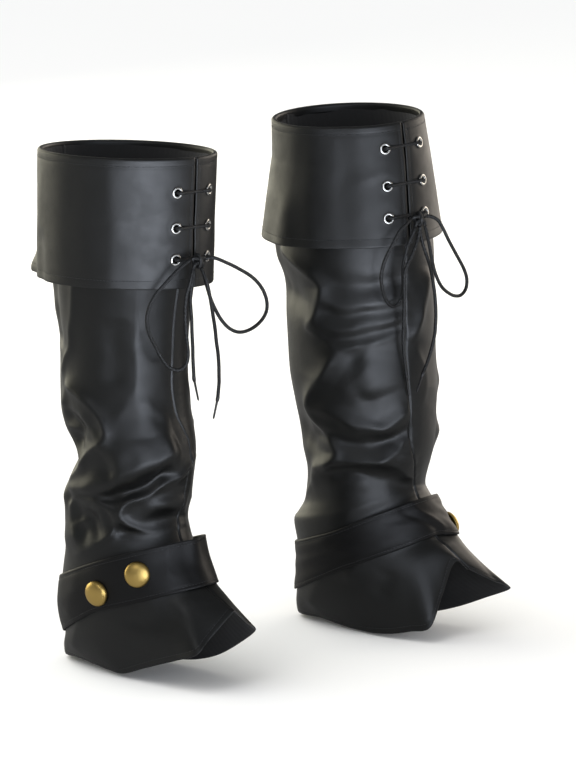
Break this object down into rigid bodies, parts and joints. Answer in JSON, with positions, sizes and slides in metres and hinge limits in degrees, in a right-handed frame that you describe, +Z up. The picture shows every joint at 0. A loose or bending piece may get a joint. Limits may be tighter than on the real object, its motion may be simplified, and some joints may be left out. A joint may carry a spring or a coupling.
{
  "type": "pair of boot covers",
  "caption": "Black faux-leather covers worn over shoes: turned-down laced cuffs, creased leg tubes, ankle straps with domed studs and open pointed hems.",
  "frame": {"origin": "Midway between the wearer's legs, level with the cuff rims, 0.523 m above the floor that the wearer stands on: the mount named legs, where the wearer holds the pair up.", "axes": "+Z up; the toes point towards -Y, each turned out 3.7 degrees; +X is the wearer's left. The right cover stands at -X and a little behind, the left cover at +X and a little in front."},
  "size_m": [0.4581, 0.3334, 0.5302],
  "materials": {
    "leg_cloth": "semi-gloss black faux leather, creased",
    "cuff_cloth": "semi-gloss black faux leather, fine grain, topstitched",
    "strap_cloth": "semi-gloss black faux leather, topstitched",
    "stud_metal": "polished gold-coloured domed studs",
    "eyelet_metal": "bright nickel-coloured rolled eyelets",
    "lace_cord": "round matt black cord",
    "lace_tip": "thin black lace tips"
  },
  "bodies": {
    "root": {"leg_outer_r": "leg_cloth", "leg_inner_r": "leg_cloth", "cuff_r": "cuff_cloth", "strap_r": "strap_cloth", "stud_front_r": "stud_metal", "stud_back_r": "stud_metal", "eyelet_out1_r": "eyelet_metal", "eyelet_out2_r": "eyelet_metal", "eyelet_out3_r": "eyelet_metal", "eyelet_in1_r": "eyelet_metal", "eyelet_in2_r": "eyelet_metal", "eyelet_in3_r": "eyelet_metal", "lace_bar1_r": "lace_cord", "lace_bar2_r": "lace_cord", "lace_bar3_r": "lace_cord", "lace_knot_r": "lace_cord", "lace_loop_out_r": "lace_cord", "lace_loop_in_r": "lace_cord", "lace_end_out_r": "lace_cord", "lace_end_in_r": "lace_cord", "lace_tip_in_r": "lace_tip", "lace_tip_out_r": "lace_tip", "leg_outer_l": "leg_cloth", "leg_inner_l": "leg_cloth", "cuff_l": "cuff_cloth", "strap_l": "strap_cloth", "stud_front_l": "stud_metal", "stud_back_l": "stud_metal", "eyelet_out1_l": "eyelet_metal", "eyelet_out2_l": "eyelet_metal", "eyelet_out3_l": "eyelet_metal", "eyelet_in1_l": "eyelet_metal", "eyelet_in2_l": "eyelet_metal", "eyelet_in3_l": "eyelet_metal", "lace_bar1_l": "lace_cord", "lace_bar2_l": "lace_cord", "lace_bar3_l": "lace_cord", "lace_knot_l": "lace_cord", "lace_loop_out_l": "lace_cord", "lace_loop_in_l": "lace_cord", "lace_end_out_l": "lace_cord", "lace_end_in_l": "lace_cord", "lace_tip_in_l": "lace_tip", "lace_tip_out_l": "lace_tip"}
  },
  "joints": []
}
